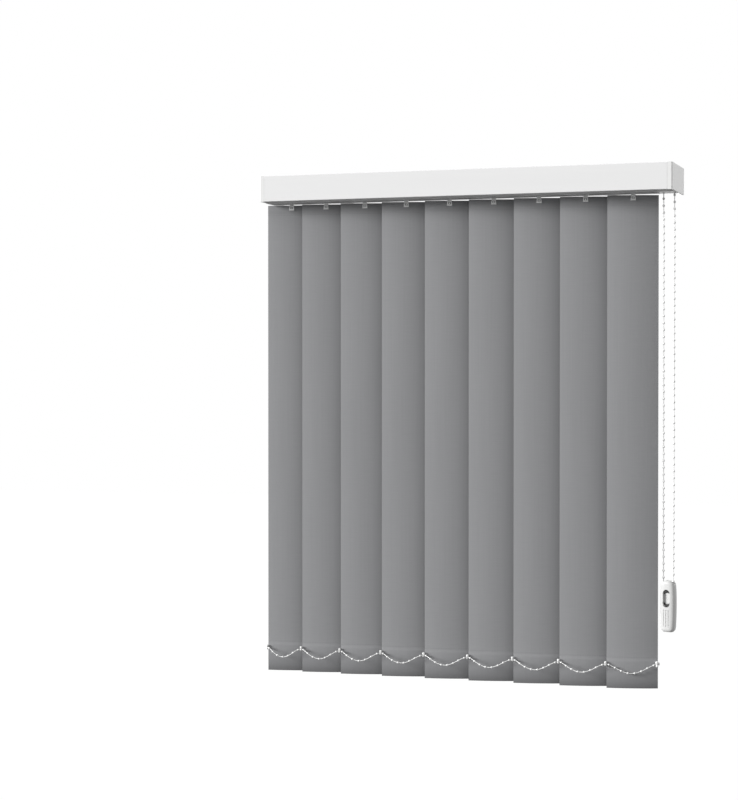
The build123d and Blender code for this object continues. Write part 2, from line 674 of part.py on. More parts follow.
# Carriers, hooks, vanes and weight plates, one of each for every vane
body_bottom = rail_bottom + rail_wall + carrier_lift
body_top = body_bottom + carrier_height
strip_level = body_top + seat_gap
head_level = body_top - stem_head_height - seat_gap
slot_top = vane_top + seat_gap
neck_top = body_bottom - seat_gap
hook_bottom = hook_hole_level - hook_hole_height / 2 - hook_sill
hook_gap = top_pocket_thickness + 2 * fit_gap
hook_front = -hook_gap / 2 - hook_front_wall
hook_back = hook_gap / 2 + hook_rear_wall
vane_hole = hook_tooth + 2 * seat_gap
pocket_gap = plate_thickness + 2 * fit_gap
weight_pocket_thickness = pocket_gap + 2 * cloth_thickness
pocket_top = vane_bottom + weight_pocket_height
plate_bottom = vane_bottom + cloth_thickness + fit_gap
for number, x in enumerate(vane_places, start=1):
    with BuildPart() as carrier:
        with BuildSketch(Plane.XY.offset(body_bottom)):
            with Locations((x, axis_y)):
                Rectangle(carrier_length, carrier_width)
        extrude(amount=carrier_height)
        chamfer(carrier.edges().filter_by(Axis.X).group_by(Axis.Z)[-1], carrier_edge)
        for roller_back in (-carrier_width / 2, carrier_width / 2 + roller_width):
            with BuildSketch(Plane.XZ.offset(-axis_y - roller_back)):
                with Locations((x, rail_bottom + rail_wall + fit_gap + roller_radius)):
                    RegularPolygon(roller_radius, side_count=roller_sides)
            extrude(amount=roller_width)
        with BuildSketch(Plane.XY.offset(body_bottom)):
            with Locations((x, axis_y)):
                Circle(stem_radius + running_gap)
        extrude(amount=carrier_height, mode=Mode.SUBTRACT)
        with BuildSketch(Plane.XY.offset(head_level)):
            with Locations((x, axis_y)):
                RegularPolygon(stem_head_radius + fit_gap, side_count=roller_sides, major_radius=False)
        extrude(amount=carrier_height, mode=Mode.SUBTRACT)
        with BuildSketch(Plane.YZ.offset(x - carrier_length)):
            with Locations((rod_y, rod_z)):
                RegularPolygon(rod_radius + rod_bore_gap, side_count=roller_sides, major_radius=False)
        extrude(amount=2 * carrier_length, mode=Mode.SUBTRACT)
        if number < vane_count:
            lane = (number % strip_lanes - (strip_lanes - 1) / 2) * strip_pitch
            with BuildSketch(Plane.XY.offset(body_top)):
                with Locations((x - carrier_length / 2 + strip_post / 2, axis_y + lane)):
                    Rectangle(strip_post, strip_width)
            extrude(amount=seat_gap + strip_thickness)
            strip_length = vane_pitch + strip_spare
            with BuildSketch(Plane.XY.offset(strip_level)):
                with Locations((x - carrier_length / 2 + strip_length / 2, axis_y + lane)):
                    Rectangle(strip_length, strip_width)
            extrude(amount=strip_thickness)
    carrier.part.label = f"carrier_{number}"
    export_step(carrier.part, f"parts/carrier_{number}.step")

    with BuildPart() as hook:
        with BuildSketch(Plane.XY.offset(neck_top)):
            with Locations((x, axis_y)):
                Circle(stem_radius)
        extrude(amount=head_level + seat_gap - neck_top)
        with BuildSketch(Plane.XY.offset(head_level + seat_gap)):
            with Locations((x, axis_y)):
                RegularPolygon(stem_head_radius, side_count=roller_sides)
        extrude(amount=stem_head_height)
        with BuildSketch(vane_face(x, hook_front)):
            with BuildLine():
                Polyline(
                    (-hook_width / 2, hook_bottom),
                    (hook_width / 2, hook_bottom),
                    (hook_neck_width / 2, neck_top),
                    (-hook_neck_width / 2, neck_top),
                    close=True,
                )
            make_face()
        extrude(amount=hook_front - hook_back)
        with BuildSketch(vane_plane(x, hook_bottom)):
            Rectangle(hook_width + cut_overrun, hook_gap)
        extrude(amount=slot_top - hook_bottom, mode=Mode.SUBTRACT)
        with BuildSketch(vane_face(x, hook_front)):
            with Locations((0, hook_hole_level)):
                Rectangle(hook_hole_width, hook_hole_height)
        extrude(amount=-hook_front_wall, mode=Mode.SUBTRACT)
        with BuildSketch(vane_face(x, -hook_gap / 2)):
            with Locations((0, hook_hole_level)):
                Rectangle(hook_tooth, hook_tooth)
        extrude(amount=-hook_gap)
    hook.part.label = f"hook_{number}"
    export_step(hook.part, f"parts/hook_{number}.step")

    low_pocket = vane_strip(
        vane_plane(x, vane_bottom), weight_pocket_thickness, vane_width, weight_pocket_height
    )
    cloth = vane_strip(
        vane_plane(x, pocket_top), cloth_thickness, vane_width, vane_height - weight_pocket_height
    )
    high_pocket = vane_strip(
        vane_plane(x, vane_top - top_pocket_height), top_pocket_thickness, vane_width, top_pocket_height
    )
    plate_room = vane_strip(
        vane_plane(x, vane_bottom + cloth_thickness),
        pocket_gap,
        vane_width + cut_overrun,
        plate_height + 2 * fit_gap,
    )
    with BuildPart() as vane:
        add([low_pocket, cloth, high_pocket])
        add(plate_room, mode=Mode.SUBTRACT)
        with BuildSketch(vane_plane(x, hook_hole_level - vane_hole / 2)):
            Rectangle(vane_hole, vane_width)
        extrude(amount=vane_hole, mode=Mode.SUBTRACT)
    vane.part.label = f"vane_{number}"
    export_step(vane.part, f"parts/vane_{number}.step")

    plate_strip = vane_strip(
        vane_plane(x, plate_bottom), plate_thickness, vane_width - 2 * fit_gap, plate_height
    )
    with BuildPart() as plate:
        add(plate_strip)
        with BuildSketch(vane_plane(x, link_level - nub_height / 2)):
            for nub_side in (-1, 1):
                with Locations((nub_side * (vane_width + nub_length - plate_thickness) / 2, vane_sagitta)):
                    Rectangle(nub_length + plate_thickness, plate_thickness)
        extrude(amount=nub_height)
    plate.part.label = f"bottom_weight_{number}"
    export_step(plate.part, f"parts/bottom_weight_{number}.step")

# Bottom chains: each hangs from a vane's clip to the next one, and the last one to its own far edge
clip_along = vane_width / 2 + link_clip_reach
clip_across = vane_sagitta - link_clip_radius - plate_thickness / 2 - seat_gap
end_clip_across = vane_sagitta - end_clip_radius - plate_thickness / 2 - seat_gap
for number, x in enumerate(vane_places, start=1):
    start = vane_point(x, -clip_along, clip_across, link_level)
    if number < vane_count:
        finish = vane_point(vane_places[number], -clip_along, clip_across, link_level)
        bow = 0
        end_room = link_clip_radius + seat_gap + link_string_diameter / 2
    else:
        finish = vane_point(x, clip_along, end_clip_across, link_level)
        bow = vane_sagitta + link_bead_diameter / 2
        end_room = 0
    span = finish - start
    steps = []
    lengths = []
    for step in range(link_steps + 1):
        share = step / link_steps
        hang = math.sin(math.pi * share) ** link_ease_share
        belly = 4 * share * (1 - share) * bow
        drop = Vector(belly * turn_y, -belly * turn_x, -link_sag * hang)
        steps.append(start + span * share + drop)
        lengths.append(lengths[-1] + (steps[-1] - steps[-2]).length if step else 0)
    bead_count = round(lengths[-1] / link_bead_pitch)
    marks = [lengths[-1] * (2 * index + 1) / (2 * bead_count) for index in range(bead_count)]
    spots = [steps[sum(1 for length in lengths if length < mark)] for mark in marks]
    last_run = finish - spots[-1]
    level_share = math.hypot(last_run.X, last_run.Y) / last_run.length
    end = finish - last_run.normalized() * (end_room / level_share)
    knots = [start, *spots, end]
    link_pieces = []
    for before, spot, after in zip(knots, knots[1:], knots[2:]):
        link_pieces.append(string_run(before, spot, link_string_diameter))
        along = after - before
        seat = Plane(origin=spot, x_dir=along.cross(Vector(0, 0, 1)), z_dir=along)
        link_pieces.append(bead(seat, link_bead_diameter, link_bead_length, link_string_diameter))
    link_pieces.append(string_run(spots[-1], end, link_string_diameter))
    with BuildPart() as link:
        add(link_pieces)
        with BuildSketch(Plane.XY.offset(link_level - link_clip_height / 2)):
            with Locations((start.X, start.Y)):
                Circle(link_clip_radius)
        extrude(amount=link_clip_height)
        if number == vane_count:
            with BuildSketch(Plane.XY.offset(link_level - end_clip_height / 2)):
                with Locations((finish.X, finish.Y)):
                    Circle(end_clip_radius)
            extrude(amount=end_clip_height)
    link.part.label = f"bottom_chain_{number}"
    export_step(link.part, f"parts/bottom_chain_{number}.step")
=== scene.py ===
"""Vertical blind: cloth vanes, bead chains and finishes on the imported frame, laid out as an add-on."""

import json
import math

import bmesh
import bpy
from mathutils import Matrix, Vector, noise


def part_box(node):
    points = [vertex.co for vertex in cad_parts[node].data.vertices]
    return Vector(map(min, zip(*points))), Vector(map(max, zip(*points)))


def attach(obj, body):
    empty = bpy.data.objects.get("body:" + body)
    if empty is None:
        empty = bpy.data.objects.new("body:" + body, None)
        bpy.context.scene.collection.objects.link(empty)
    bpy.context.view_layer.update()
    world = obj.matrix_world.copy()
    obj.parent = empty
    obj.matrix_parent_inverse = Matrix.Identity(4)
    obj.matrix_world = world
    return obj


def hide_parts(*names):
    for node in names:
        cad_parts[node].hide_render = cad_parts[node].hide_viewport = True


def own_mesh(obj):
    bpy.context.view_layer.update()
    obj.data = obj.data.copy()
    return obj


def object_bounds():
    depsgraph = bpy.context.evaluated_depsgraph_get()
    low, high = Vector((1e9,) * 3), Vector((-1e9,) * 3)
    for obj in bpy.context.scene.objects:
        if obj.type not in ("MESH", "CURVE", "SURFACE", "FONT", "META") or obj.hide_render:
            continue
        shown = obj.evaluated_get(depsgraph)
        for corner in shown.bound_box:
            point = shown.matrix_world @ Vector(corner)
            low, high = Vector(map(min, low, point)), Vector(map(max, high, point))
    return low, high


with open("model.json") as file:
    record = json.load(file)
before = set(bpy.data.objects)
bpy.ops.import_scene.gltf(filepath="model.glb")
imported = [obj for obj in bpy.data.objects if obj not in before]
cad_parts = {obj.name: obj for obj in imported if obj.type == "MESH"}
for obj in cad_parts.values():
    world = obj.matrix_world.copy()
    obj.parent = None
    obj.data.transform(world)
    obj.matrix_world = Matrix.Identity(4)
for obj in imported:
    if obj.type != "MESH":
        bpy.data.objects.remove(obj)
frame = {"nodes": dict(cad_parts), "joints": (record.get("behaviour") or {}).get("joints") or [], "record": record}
cad_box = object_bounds()

bl_info = {
    "name": "Vertical blind",
    "version": (1, 0, 0),
    "blender": (4, 5, 0),
    "location": "View3D > Sidebar > Blind",
    "description": "Dresses the frame of a vertical blind with cloth vanes, bead chains and finishes",
    "category": "Object",
}

MM = 0.001
VANES = sum(1 for node in frame["nodes"] if node.startswith("vane_"))
SENSOR_HEIGHT_MM = 36
CLOTH_MAP = "cloth"
BEAD_TREE = "bead_chain"

# Forms of the pieces

CLIP_OUTLINE_SHARES = (
    (0.30, -1.00), (0.72, -0.93), (0.92, -0.74), (0.86, -0.46), (0.66, -0.26), (0.66, 0.00),
    (0.92, 0.22), (1.00, 0.54), (0.88, 0.84), (0.40, 1.00),
)
WEIGHT_OUTLINE_SHARES = (
    (0.00, 0.38), (0.05, 0.82), (0.15, 0.95), (0.40, 1.00), (0.78, 0.95), (0.95, 0.84), (1.00, 0.60),
)
WEIGHT_ROUND_POWER = 0.64
WEIGHT_END_ROUND_SHARE = 0.6
BEAD_STRETCH_SHARES = (1, 1, 1.1)
STAND_EASE_SHARE = 0.25
STRAND_LEAD_BEADS = 6
RIPPLE_EASE_HEMS = 4
RIPPLE_ACROSS = 14
RIPPLE_DOWN = 5
RIPPLE_PER_VANE = 11.3

# Fineness of the meshes

HEM_STEPS = 5
POCKET_STEPS = 4
FOLD_STEPS = 8
DROP_STEPS = 40
VANE_COLUMNS = 28
WEIGHT_RINGS = 44
WEIGHT_CORNERS = 56
WINDOW_STEPS = 12
PIN_CORNERS = 24
CLIP_CORNERS = 16
SPAN_STEPS = 12
TURN_CORNERS = 4
ROUTE_STEPS = 24
BEAD_SEGMENTS = 12
BEAD_RINGS = 8
STRING_CORNERS = 8
STRING_POINTS_PER_BEAD = 8
VANE_SHARP = math.radians(50)
WEIGHT_SHARP = math.radians(40)
SEAM = 0.01 * MM

# Grain of the finishes

EVEN = (1, 1, 1)
DRAWN_COAT_STRETCH = (0.05, 1, 1)
DRAWN_METAL_STRETCH = (0.02, 1, 1)
YARN_STRETCH = (420, 5, 1)
SLUB_STRETCH = (30, 700, 1)
SLUB_SHIFT = (3, 7, 0)
RAMP_SHARES = (0.3, 0.7)
COAT_RELIEF = 0.2 * MM
COAT_UNEVENNESS = 0.05
METAL_RELIEF = 0.1 * MM
METAL_UNEVENNESS = 0.08
CLOTH_SHADE_SHARES = (0.955, 1.035)
WEAVE_RELIEF = 0.15 * MM
WEAVE_RELIEF_SHARE = 0.5
WEAVE_SHADE_SHARE = 0.05
DASH_PITCH = 3 * MM
DASH_HALF_HEIGHT = 0.8 * MM
DASH_GAP_LEVEL = -0.4
DASH_TONE = 0.93
# Power of the painted shade that darkens the cloth towards its lower fold
PAINTED_FOOT_SHADE_POWER = 2.2
FLOOR_TONES = (0.1, 0.3)
FLOOR_GLOW = 1.17
FLOOR_GLOW_SHARE = 0.8


def joint(name):
    """The frame's joint of that name."""
    return next(item for item in frame["joints"] if item["name"] == name)


def joint_place(name):
    """Place of a joint of the frame."""
    return Vector(joint(name)["pos_m"])


def vane_head(number):
    """Place of a vane's tilt joint, on its turning axis beside the top edge."""
    return joint_place("tilt" if number == 1 else f"tilt_{number}")


# Settings


def length_setting(name, description, millimetres):
    """Setting of a length."""
    return bpy.props.FloatProperty(
        name=name, description=description, default=millimetres * MM, unit="LENGTH"
    )


def lengths_setting(name, description, *millimetres):
    """Setting of two or three lengths."""
    return bpy.props.FloatVectorProperty(
        name=name, description=description, default=[part * MM for part in millimetres],
        size=len(millimetres), unit="LENGTH",
    )


def angle_setting(name, description, degrees):
    """Setting of an angle."""
    return bpy.props.FloatProperty(
        name=name, description=description, default=math.radians(degrees), subtype="ANGLE"
    )


def number_setting(name, description, value, subtype="NONE"):
    """Setting of a plain number or a power."""
    return bpy.props.FloatProperty(name=name, description=description, default=value, subtype=subtype)


def place_setting(name, description, *metres):
    """Setting of a place."""
    return bpy.props.FloatVectorProperty(
        name=name, description=description, default=metres, subtype="TRANSLATION"
    )


def colour_setting(name, description, *parts):
    """Setting of a colour."""
    return bpy.props.FloatVectorProperty(name=name, description=description, default=parts, subtype="COLOR")


class BlindVaneSettings(bpy.types.PropertyGroup):
    """Sizes and colour of the cloth vanes."""

    width: length_setting("Width", "Width of the cloth", 89)
    tilt: angle_setting("Tilt", "Turn of the vanes at rest", 14)
    sagitta: length_setting("Bulge", "How far the middle stands in front of the edges", 3)
    thickness: length_setting("Cloth thickness", "Thickness of one layer of cloth", 0.5)
    head_hem: length_setting("Head pocket", "Height of the pocket for the hanger", 20)
    head_room: length_setting("Head room", "Room between the layers of the head pocket", 0.6)
    head_rise: length_setting("Head rise", "Height of the top edge above the tilt joint", 1)
    foot_hem: length_setting("Foot pocket", "Height of the pocket for the weight", 56)
    foot_room: length_setting("Foot room", "Room between the layers of the foot pocket", 1.2)
    weld: length_setting("Weld", "Height of the welded strip of a hem", 3)
    ease: length_setting("Ease", "Height over which a pocket opens from its weld", 7)
    ripple: length_setting("Ripple", "Unevenness of the hanging cloth", 0.5)
    thread: length_setting("Thread", "Spacing of the threads of the weave", 0.7)
    colour: colour_setting("Cloth colour", "Colour of the cloth", 0.300, 0.302, 0.310)
    # Painted shade: share of the cloth's colour left at the lower fold of the foot pocket, darkening it as shading
    # would
    painted_foot_shade: number_setting("Foot tone", "Share of the colour that is left at the lower fold", 0.55)


class BlindChainSettings(bpy.types.PropertyGroup):
    """Sizes of the control chain and of the chains along the foot."""

    pitch: length_setting("Bead pitch", "Spacing of the beads of all chains", 12)
    bead: length_setting("Bead", "Diameter of a bead of the control chain", 4.5)
    string: length_setting("String", "Diameter of the string of the control chain", 1.6)
    loop_length: length_setting("Loop length", "Length of the whole control chain", 1500)
    wheel_radius: length_setting("Wheel radius", "Radius of the chain's turns on wheel and pulley", 9.549)
    link_bead: length_setting("Foot bead", "Diameter of a bead of the foot chains", 3.6)
    link_string: length_setting("Foot string", "Diameter of the string of the foot chains", 1.2)
    link_sag: length_setting("Sag", "Sag of the foot chains", 16.2)
    link_ease: number_setting("Sag ease", "How flat a foot chain leaves its clips", 1.5)
    link_stand: length_setting("Foot chain stand", "How far a foot chain hangs in front of its clips", 7.5)
    clip_radius: length_setting("Clip radius", "Radius of the clip at a vane's edge", 2.3)
    clip_height: length_setting("Clip height", "Height of the clip at a vane's edge", 8.6)
    clip_reach: length_setting("Clip reach", "Distance of a clip's middle from the vane's edge", 2)
    end_clip_inset: length_setting("End clip inset", "How far the end clip sits inside its mate's place", 4)
    end_clip_stand: length_setting("End clip stand", "How far it sits in front of that place", 1.8)
    end_clip_scale: number_setting("End clip scale", "Size of the end clip as a share of the others", 1.22)
    colour: colour_setting("Chain colour", "Colour of the chains", 0.82, 0.82, 0.815)


class BlindWeightSettings(bpy.types.PropertyGroup):
    """Sizes of the casing on the lower loop of the control chain."""

    turn: angle_setting("Turn", "How far the casing hangs turned", -18)
    width: length_setting("Width", "Width of the casing", 29)
    thickness: length_setting("Thickness", "Thickness of the casing", 17.6)
    height: length_setting("Height", "Height of the casing", 89.5)
    rise: length_setting("Rise", "Height of the casing's top above the pulley", 31)
    edge: length_setting("Edge", "Height over which the ends are rounded", 5)
    window: lengths_setting("Window", "Width and height of the window", 13.5, 31)
    room: lengths_setting("Room", "Width, height and depth of the pulley's room", 24.6, 46, 8)
    pin: length_setting("Pin", "Radius of the pulley's pin", 1.8)
    pin_reach: length_setting("Pin reach", "How far the pin comes forward of the pulley's middle", 3.5)
    rib: lengths_setting("Grooves", "Width, height and depth of a grip groove", 1.8, 30, 0.7)
    rib_pitch: length_setting("Groove pitch", "Spacing of the grip grooves", 4.6)
    rib_rise: length_setting("Groove rise", "Height of the grooves above the foot", 9)


class BlindFinishSettings(bpy.types.PropertyGroup):
    """Colours of the coats, mouldings and metals."""

    valance: colour_setting("Valance", "Colour of the valance's coat", 0.72, 0.72, 0.72)
    moulding: colour_setting("Mouldings", "Colour of the white mouldings", 0.73, 0.73, 0.725)
    rail: colour_setting("Rail", "Colour of the rail's coat", 0.62, 0.62, 0.62)
    weight: colour_setting("Chain weight", "Colour of the weight on the chain", 0.56, 0.56, 0.555)
    hook: colour_setting("Hooks", "Colour of the hooks", 0.95, 0.95, 0.945)
    carrier: colour_setting("Carriers", "Colour of the carriers", 0.62, 0.62, 0.61)
    bracket: colour_setting("Brackets", "Colour of the brackets' coat", 0.74, 0.74, 0.73)
    plate: colour_setting("Weight plates", "Colour of the coated plates", 0.70, 0.70, 0.70)
    rod: colour_setting("Rod", "Colour of the drawn rod", 0.72, 0.73, 0.74)


class BlindStageSettings(bpy.types.PropertyGroup):
    """Camera, floor and light."""

    eye: place_setting("Eye", "Place of the camera", 0.9333, -3.362, -0.335)
    yaw: angle_setting("Yaw", "Turn of the camera to the left", 18.74)
    pitch: angle_setting("Pitch", "Lift of the camera's view", -0.76)
    lens: number_setting("Lens", "Focal length in millimetres on a 36 mm high frame", 85.7)
    floor_drop: length_setting("Floor drop", "Height of the blind above the floor", 300)
    floor_half: length_setting("Floor half", "Half the width of the floor", 9000)
    world: number_setting("World", "Strength of the light from all round", 0.70)
    key: number_setting("Key", "Strength of the main light in watts a square metre", 4.2)
    key_place: place_setting("Key place", "Where the main light comes from", -4.24, -2.45, 1.1)
    key_spread: angle_setting("Key spread", "Angle that the main light fills", 18)
    fill: number_setting("Fill", "Power of the lamp behind the right end in watts", 12.0, "POWER")
    fill_place: place_setting("Fill place", "Place of that lamp", 2.4, 1.8, 0.5)
    fill_size: length_setting("Fill size", "Width of that lamp", 1200)
    aim: place_setting("Aim", "Point that both lights face", 0, 0, -0.1)


# Materials


class NodeBoard:
    """A node tree with short ways to add nodes and feed their inputs."""

    def __init__(self, tree):
        self.nodes = tree.nodes
        self.links = tree.links

    def join(self, socket, value):
        """Links an input to an output, or sets it to a value."""
        if isinstance(value, bpy.types.NodeSocket):
            self.links.new(value, socket)
        else:
            socket.default_value = value

    def feed(self, node, **inputs):
        """Joins a node's inputs by their names, with underscores for spaces."""
        for name, value in inputs.items():
            self.join(node.inputs[name.replace("_", " ")], value)
        return node

    def add(self, kind, **inputs):
        """New node with its inputs joined."""
        return self.feed(self.nodes.new(kind), **inputs)

    def maths(self, operation, *values):
        """Output of a math node on sockets or numbers."""
        node = self.nodes.new("ShaderNodeMath")
        node.operation = operation
        for socket, value in zip(node.inputs, values):
            self.join(socket, value)
        return node.outputs[0]

    def mixed(self, factor, first, second, blend="MIX"):
        """Output of a mix of two colours."""
        node = self.nodes.new("ShaderNodeMix")
        node.data_type = "RGBA"
        node.blend_type = blend
        return self.feed(node, Factor=factor, A=first, B=second).outputs["Result"]


def new_material(name):
    """Node material, the board of its nodes and its principled shader."""
    material = bpy.data.materials.new(name)
    material.use_nodes = True
    board = NodeBoard(material.node_tree)
    return material, board, board.nodes["Principled BSDF"]


def grey(tone):
    """Opaque grey."""
    return (tone, tone, tone, 1)


def shaded(colour, share):
    """Colour times a share."""
    return tuple(part * share for part in colour)


def uneven(board, place, stretch, scale, detail, roughness, shift=(0, 0, 0)):
    """Noise on coordinates that are stretched and shifted."""
    mapping = board.add("ShaderNodeMapping", Vector=place, Scale=stretch, Location=shift)
    spot = mapping.outputs["Vector"]
    texture = board.add("ShaderNodeTexNoise", Vector=spot, Scale=scale, Detail=detail, Roughness=roughness)
    return texture.outputs["Fac"]


def grain(board, scale, detail, stretch=EVEN):
    """Noise on object coordinates, drawn out along one axis if asked."""
    place = board.add("ShaderNodeTexCoord").outputs["Object"]
    return uneven(board, place, stretch, scale, detail, roughness=0.55)


def ramp(board, value, low, high):
    """Colour that runs from low to high over the middle of a value's range."""
    node = board.add("ShaderNodeValToRGB", Fac=value)
    for element, share, colour in zip(node.color_ramp.elements, RAMP_SHARES, (low, high)):
        element.position = share
        element.color = (*colour, 1)
    return node.outputs["Color"]


def spread(board, value, low, high):
    """Value from 0 to 1 spread from low to high."""
    return board.add("ShaderNodeMapRange", Value=value, To_Min=low, To_Max=high).outputs["Result"]


def bump(board, height, strength, distance):
    """Normal of a fine relief."""
    node = board.add("ShaderNodeBump", Height=height, Strength=strength, Distance=distance)
    return node.outputs["Normal"]


def coat(name, colour, roughness, stretch=EVEN, scale=900.0, relief=0.02, gloss=0.0):
    """Painted or moulded surface with a faint mottle, an uneven gloss and a fine relief."""
    material, board, shader = new_material(name)
    mottle = grain(board, scale=40.0, detail=3.0, stretch=stretch)
    fine = grain(board, scale=scale, detail=2.0, stretch=stretch)
    board.feed(
        shader,
        Base_Color=ramp(board, mottle, shaded(colour, share=0.985), colour),
        Roughness=spread(board, mottle, roughness - COAT_UNEVENNESS, roughness + COAT_UNEVENNESS),
        Normal=bump(board, fine, strength=relief, distance=COAT_RELIEF),
        Coat_Weight=gloss,
        Coat_Roughness=0.12,
    )
    return material


def drawn_metal(name, colour, roughness):
    """Bare metal with fine lines along the rail's direction."""
    material, board, shader = new_material(name)
    lines = grain(board, scale=700.0, detail=3.0, stretch=DRAWN_METAL_STRETCH)
    board.feed(
        shader,
        Base_Color=ramp(board, lines, shaded(colour, share=0.9), colour),
        Roughness=spread(board, lines, roughness - METAL_UNEVENNESS, roughness + METAL_UNEVENNESS),
        Normal=bump(board, lines, strength=0.08, distance=METAL_RELIEF),
        Metallic=1.0,
    )
    return material


def clear_moulding(name, colour):
    """Slightly clear plastic of the hooks, cloudy inside and smooth outside."""
    material, board, shader = new_material(name)
    cloud = grain(board, scale=160.0, detail=2.0)
    board.feed(
        shader,
        Base_Color=ramp(board, cloud, shaded(colour, share=0.94), colour),
        Roughness=spread(board, cloud, low=0.24, high=0.36),
        Transmission_Weight=0.06,
        IOR=1.49,
    )
    return material


def cloth_colour(board, sizes, place, along, weave):
    """Colour of the cloth: uneven yarns and slubs, crossing threads, and painted shade that darkens it towards the
    lower fold of the foot pocket.
    """
    yarns = uneven(board, place, YARN_STRETCH, scale=1.0, detail=4.0, roughness=0.6)
    slubs = uneven(board, place, SLUB_STRETCH, scale=1.0, detail=3.0, roughness=0.6, shift=SLUB_SHIFT)
    mottle = board.maths("MULTIPLY", board.maths("ADD", yarns, slubs), 0.5)
    shade = board.maths("ADD", mottle, board.maths("MULTIPLY", weave, WEAVE_SHADE_SHARE))
    colour = ramp(board, shade, *(shaded(sizes.colour, share) for share in CLOTH_SHADE_SHARES))
    # Painted shade: the colour darkens towards the lower fold of the foot pocket, standing in for the shading
    # there
    beyond = board.maths("ABSOLUTE", board.maths("SUBTRACT", along, sizes.foot_hem))
    near = board.maths("SUBTRACT", 1, board.maths("DIVIDE", beyond, sizes.foot_hem))
    near = board.maths("POWER", board.maths("MAXIMUM", near, 0), PAINTED_FOOT_SHADE_POWER)
    return board.mixed(near, colour, grey(sizes.painted_foot_shade), "MULTIPLY")


def weld_dashes(board, across, along, welds):
    """Value that is 1 on the pressed dashes along the welds."""
    wave = board.maths("SINE", board.maths("MULTIPLY", across, 2 * math.pi / DASH_PITCH))
    lines = 0.0
    for level in welds:
        reach = board.maths("ABSOLUTE", board.maths("SUBTRACT", along, level))
        lines = board.maths("ADD", board.maths("LESS_THAN", reach, DASH_HALF_HEIGHT), lines)
    return board.maths("MULTIPLY", lines, board.maths("GREATER_THAN", wave, DASH_GAP_LEVEL))


def vane_cloth(name, sizes, welds):
    """Plain woven cloth with pressed dashes along its welds and painted shade towards its lower fold."""
    material, board, shader = new_material(name)
    flat = board.add("ShaderNodeUVMap")
    flat.uv_map = CLOTH_MAP
    place = flat.outputs["UV"]
    parts = board.add("ShaderNodeSeparateXYZ", Vector=place)
    across, along = parts.outputs["X"], parts.outputs["Y"]
    thread_turn = math.pi / sizes.thread
    threads = [board.maths("SINE", board.maths("MULTIPLY", way, thread_turn)) for way in (across, along)]
    weave = board.maths("MULTIPLY", *threads)
    pressed = weld_dashes(board, across, along, welds)
    colour = cloth_colour(board, sizes, place, along, weave)
    relief = board.maths("SUBTRACT", board.maths("MULTIPLY", weave, WEAVE_RELIEF_SHARE), pressed)
    board.feed(
        shader,
        Base_Color=board.mixed(pressed, colour, grey(DASH_TONE), "MULTIPLY"),
        Normal=bump(board, relief, strength=0.25, distance=WEAVE_RELIEF),
        Roughness=0.86,
        Sheen_Weight=0.12,
        Sheen_Roughness=0.5,
        Specular_IOR_Level=0.25,
    )
    return material


def seen_rays(board):
    """Values that are 1 for the camera's own rays, and for these and what gloss or clear plastic shows."""
    path = board.add("ShaderNodeLightPath").outputs
    seen = board.maths("MAXIMUM", path["Is Camera Ray"], path["Is Glossy Ray"])
    return path["Is Camera Ray"], board.maths("MAXIMUM", seen, path["Is Transmission Ray"])


def pale_floor(name):
    """Floor that is near white to the camera and still takes the blind's shadow."""
    material, board, shader = new_material(name)
    camera, seen = seen_rays(board)
    board.feed(shader, Base_Color=board.mixed(camera, *map(grey, FLOOR_TONES)), Roughness=0.9)
    glow = board.add("ShaderNodeEmission", Color=grey(1), Strength=FLOOR_GLOW)
    mix = board.add("ShaderNodeMixShader", Fac=board.maths("MULTIPLY", seen, FLOOR_GLOW_SHARE))
    board.join(mix.inputs[1], shader.outputs["BSDF"])
    board.join(mix.inputs[2], glow.outputs["Emission"])
    board.feed(board.nodes["Material Output"], Surface=mix.outputs["Shader"])
    return material


# Objects and meshes


def new_object(name, data):
    """Object in the scene."""
    item = bpy.data.objects.new(name, data)
    bpy.context.scene.collection.objects.link(item)
    return item


def new_piece(name, mesh, material, body):
    """Object of a finished mesh that rides on a body and takes the given material if its mesh has none."""
    mesh.name = name
    piece = new_object(name, mesh)
    if not mesh.materials:
        mesh.materials.append(material)
    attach(piece, body)
    return piece


def evaluated_mesh(item):
    """Mesh of an object with its modifiers applied."""
    shown = bpy.context.evaluated_depsgraph_get()
    return bpy.data.meshes.new_from_object(item.evaluated_get(shown), depsgraph=shown)


def closed_mesh(shape, name):
    """Mesh of a finished bmesh, with its faces turned outward."""
    bmesh.ops.recalc_face_normals(shape, faces=shape.faces)
    mesh = bpy.data.meshes.new(name)
    shape.to_mesh(mesh)
    shape.free()
    return mesh


def skin(shape, rings):
    """Adds smooth faces from ring to ring and a flat one at each end."""
    for low, high in zip(rings, rings[1:]):
        for index in range(len(low)):
            corners = (low[index - 1], low[index], high[index], high[index - 1])
            shape.faces.new(corners).smooth = True
    for end in (rings[0], rings[-1]):
        shape.faces.new(end)


def eased(low, high, share):
    """Smooth step from low to high."""
    share = min(max(share, 0), 1)
    return low + (high - low) * share * share * (3 - 2 * share)


def steps(count):
    """Even shares from 0 to 1."""
    return [index / count for index in range(count + 1)]


def turns(count):
    """Angles of even corners round a full turn."""
    return [2 * math.pi * share for share in steps(count)[:-1]]


def half_turn(count):
    """Even angles from 0 to half a turn."""
    return [math.pi * share for share in steps(count)]


def rectangle(left, right, top, bottom):
    """Corners of a rectangle in turn."""
    return [(left, top), (right, top), (right, bottom), (left, bottom)]


# Vanes


